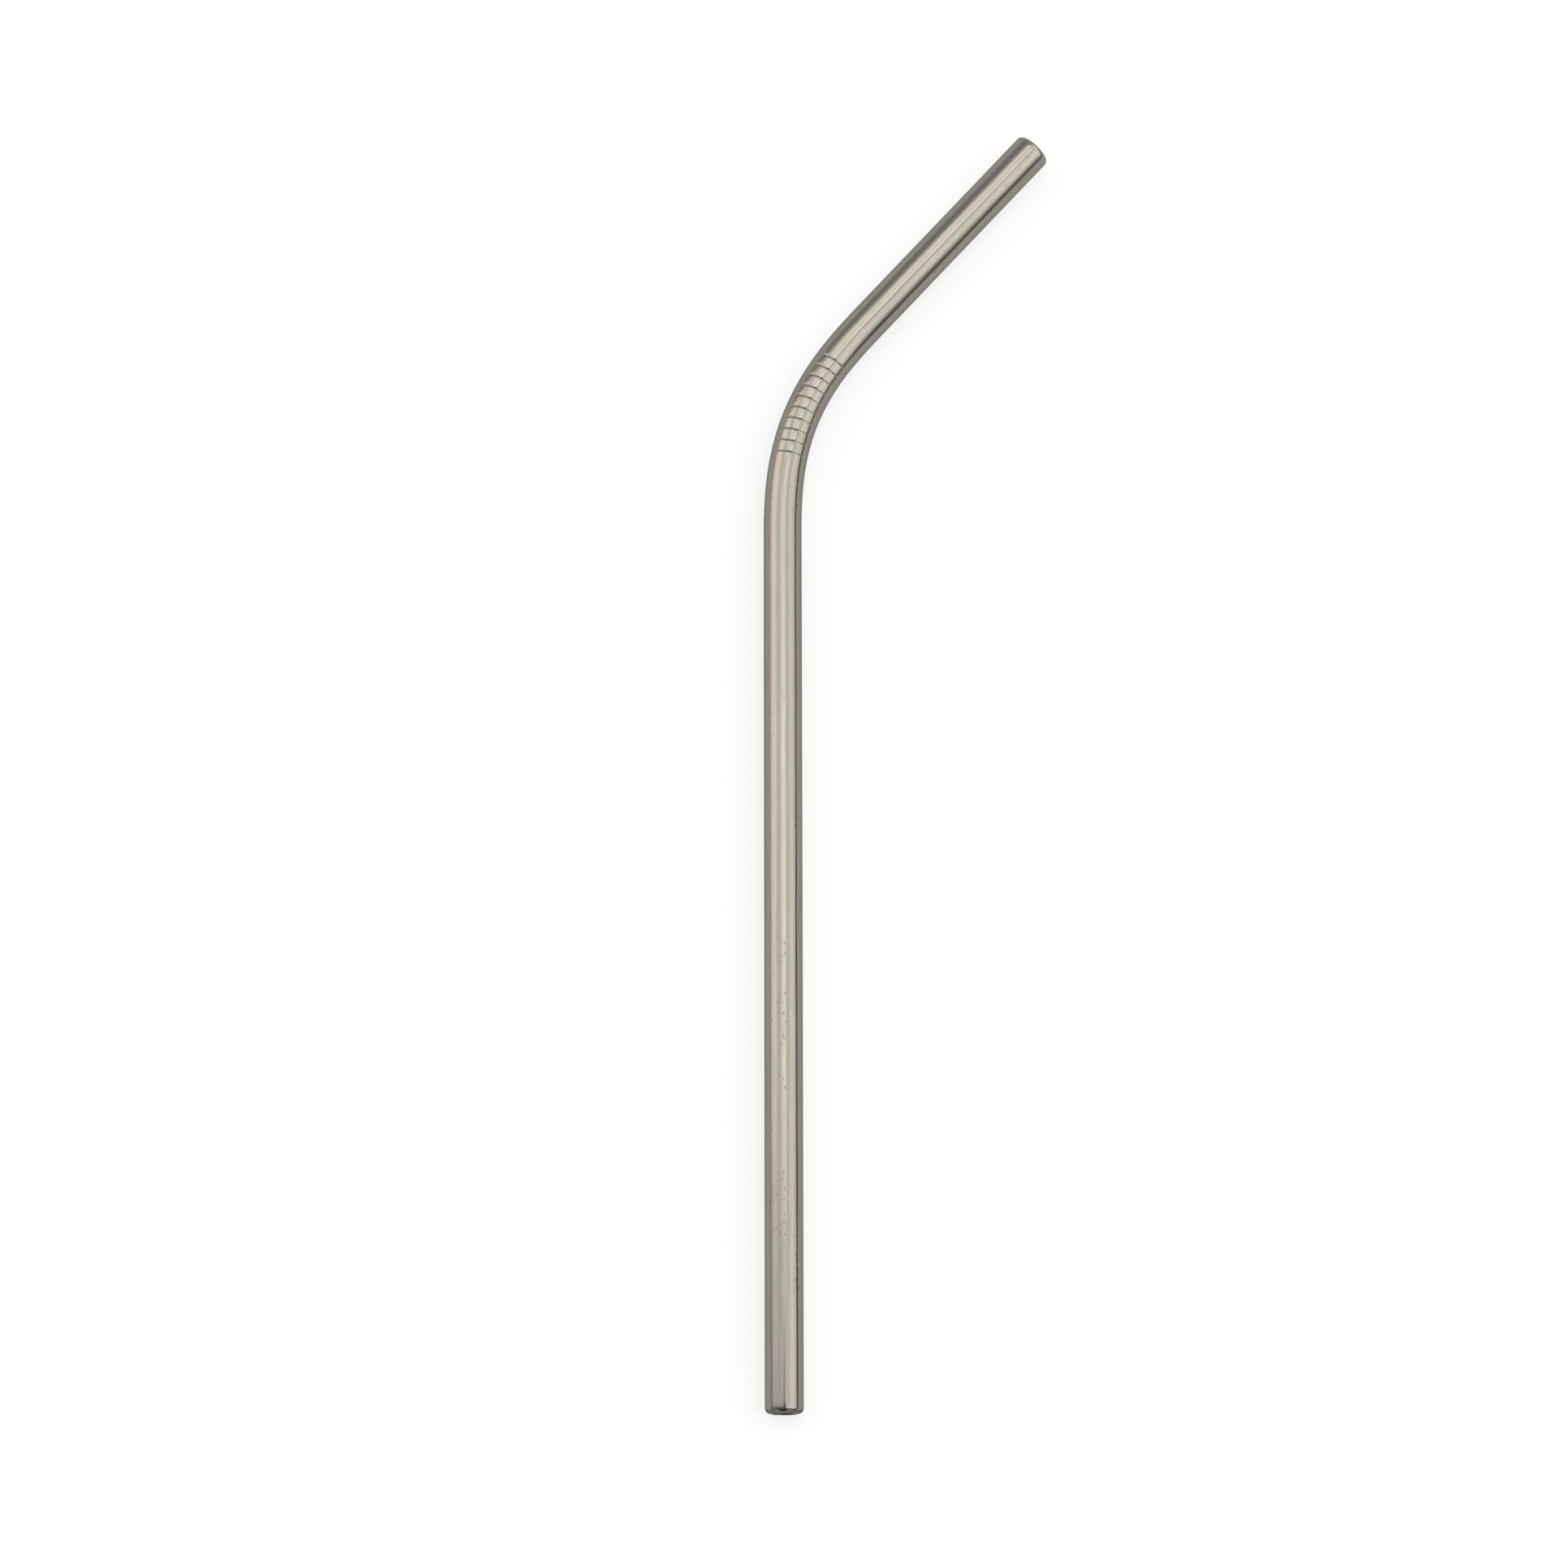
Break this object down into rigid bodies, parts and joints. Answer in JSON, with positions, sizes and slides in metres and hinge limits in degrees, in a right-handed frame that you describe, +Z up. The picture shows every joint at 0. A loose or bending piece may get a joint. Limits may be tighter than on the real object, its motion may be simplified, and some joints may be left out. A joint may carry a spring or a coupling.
{
  "type": "metal drinking straw",
  "caption": "Slim reusable metal drinking straw: a thin-walled tube, eased round one bend over rolled grooves, open at both ends with smooth turned-in rims, for sipping a drink.",
  "frame": {"origin": "under the middle of the straw's box, on the surface that the straw lies on", "axes": "+Z up from that surface, +Y along the long leg from the foot towards the bend, +X towards the side that the short leg leans to"},
  "size_m": [0.045, 0.2024, 0.006],
  "materials": {
    "steel": "polished bare stainless steel with a faint lengthwise grain, warm grey"
  },
  "bodies": {
    "root": {"straw_tube": "steel"}
  },
  "joints": []
}
